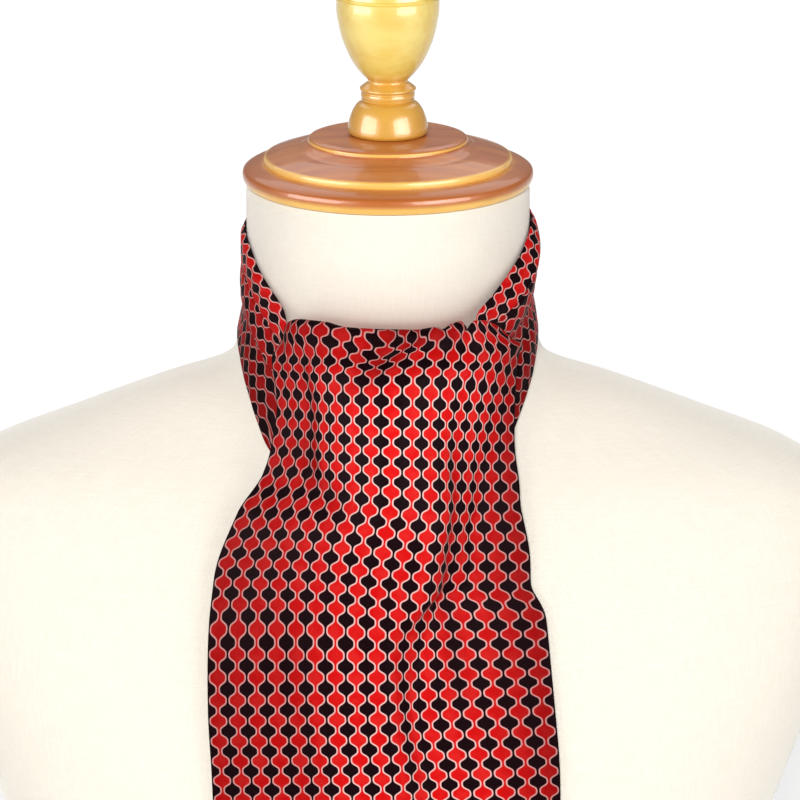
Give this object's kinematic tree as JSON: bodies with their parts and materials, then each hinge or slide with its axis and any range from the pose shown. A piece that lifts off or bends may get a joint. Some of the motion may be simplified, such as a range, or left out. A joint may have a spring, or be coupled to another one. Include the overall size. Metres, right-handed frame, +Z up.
{
  "type": "silk cravat on a dress form",
  "caption": "Printed silk cravat tied at the throat, its blade falling over the crossing to a point, on a limbless dress form with a turned wooden neck cap.",
  "frame": {"origin": "centre of the dress form's flat base, where it stands", "axes": "+Z up, -Y towards the front of the cravat, +X to the viewer's right"},
  "size_m": [0.416, 0.2182, 0.539],
  "materials": {
    "form_cover": "fine plain linen, warm white",
    "cap_wood": "honey-brown lacquer, glossy",
    "finial_wood": "golden lacquer, glossy",
    "printed_silk": "silk twill printed with a red and black ogee lattice outlined in cream"
  },
  "bodies": {
    "root": {"form_body": "form_cover", "neck_cap": "cap_wood", "finial": "finial_wood", "neckband": "printed_silk", "band_left": "printed_silk", "band_right": "printed_silk", "under_blade": "printed_silk", "front_blade": "printed_silk"}
  },
  "joints": []
}
